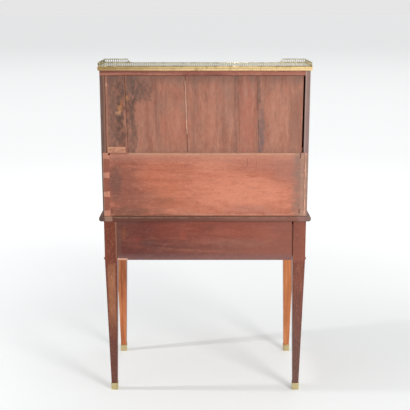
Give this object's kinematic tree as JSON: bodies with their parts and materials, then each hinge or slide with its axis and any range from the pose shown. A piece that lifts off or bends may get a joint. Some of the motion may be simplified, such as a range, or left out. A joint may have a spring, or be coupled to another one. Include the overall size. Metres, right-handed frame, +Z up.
{
  "type": "cylinder desk",
  "caption": "Small mahogany cylinder desk on tapered legs: roll-back cylinder over a writing slide and nest, frieze drawer, panelled cabinet doors, galleried marble top.",
  "frame": {"origin": "on the floor under the middle of the overall box", "axes": "+Z up, front faces -Y, +X to the right for someone looking at the front"},
  "size_m": [0.79, 0.472, 1.271],
  "materials": {
    "mahogany": "worn polish",
    "red_stained_pine": "dry stain",
    "oak": "bare",
    "brass": "aged",
    "iron": "forged",
    "marble": "honed",
    "leather": "waxed"
  },
  "bodies": {
    "desk": {"back_planks": "red_stained_pine", "back_top_rail": "red_stained_pine", "cabinet_floor": "mahogany", "cabinet_side_left": "mahogany", "cabinet_side_right": "mahogany", "cabinet_top_board": "red_stained_pine", "cylinder_case_side_left": "mahogany", "cylinder_case_side_right": "mahogany", "desk_bed": "mahogany", "drawer_runners": "oak", "frieze_bead": "mahogany", "front_rails": "mahogany", "gallery_back": "brass", "gallery_returns": "brass", "gallery_sides": "brass", "leg_back_left": "mahogany", "leg_back_right": "mahogany", "leg_front_left": "mahogany", "leg_front_right": "mahogany", "leg_sabots": "brass", "lower_back_board": "red_stained_pine", "marble_band": "brass", "marble_top": "marble", "nest_back": "red_stained_pine", "nest_shelves": "mahogany", "nest_uprights": "mahogany", "pivot_bushes": "brass", "rear_apron": "mahogany", "side_apron_left": "mahogany", "side_apron_right": "mahogany", "slide_guides": "oak"},
    "cylinder": {"cylinder_shell": "mahogany", "cylinder_lock_rail": "mahogany", "cylinder_arms": "iron", "cylinder_knobs": "brass", "cylinder_escutcheon": "brass"},
    "writing_slide_body": {"writing_slide": "mahogany", "writing_leather": "leather", "slide_knobs": "brass"},
    "frieze_drawer": {"drawer_front": "mahogany", "drawer_sides": "oak", "drawer_back": "oak", "drawer_bottom": "oak", "drawer_knobs": "brass", "drawer_escutcheon": "brass"},
    "left_door": {"door_left_frame": "mahogany", "door_left_panel": "mahogany", "door_left_bead": "brass", "door_left_pivots": "brass"},
    "right_door": {"door_right_frame": "mahogany", "door_right_panel": "mahogany", "door_right_bead": "brass", "door_right_pivots": "brass", "door_escutcheon": "brass"},
    "left_nest_drawer": {"nest_drawer_left": "mahogany"},
    "centre_nest_drawer": {"nest_drawer_centre": "mahogany"},
    "right_nest_drawer": {"nest_drawer_right": "mahogany"}
  },
  "joints": [
    {"name": "cylinder_roll", "type": "hinge", "parent": "desk", "child": "cylinder", "pos_m": [0, 0.006, 0.74], "axis": [-1, 0, 0], "range_deg": [0, 78]},
    {"name": "writing_slide_pull", "type": "slide", "parent": "desk", "child": "writing_slide_body", "axis": [0, -1, 0], "range_m": [0, 0.18]},
    {"name": "frieze_drawer_pull", "type": "slide", "parent": "desk", "child": "frieze_drawer", "axis": [0, -1, 0], "range_m": [0, 0.27]},
    {"name": "left_door_swing", "type": "hinge", "parent": "desk", "child": "left_door", "pos_m": [-0.3515, 0.015, 1], "axis": [0, 0, -1], "range_deg": [0, 90]},
    {"name": "right_door_swing", "type": "hinge", "parent": "desk", "child": "right_door", "pos_m": [0.3515, 0.015, 1], "axis": [0, 0, 1], "range_deg": [0, 90]},
    {"name": "left_nest_drawer_pull", "type": "slide", "parent": "desk", "child": "left_nest_drawer", "axis": [0, -1, 0], "range_m": [0, 0.08]},
    {"name": "centre_nest_drawer_pull", "type": "slide", "parent": "desk", "child": "centre_nest_drawer", "axis": [0, -1, 0], "range_m": [0, 0.08]},
    {"name": "right_nest_drawer_pull", "type": "slide", "parent": "desk", "child": "right_nest_drawer", "axis": [0, -1, 0], "range_m": [0, 0.08]}
  ]
}
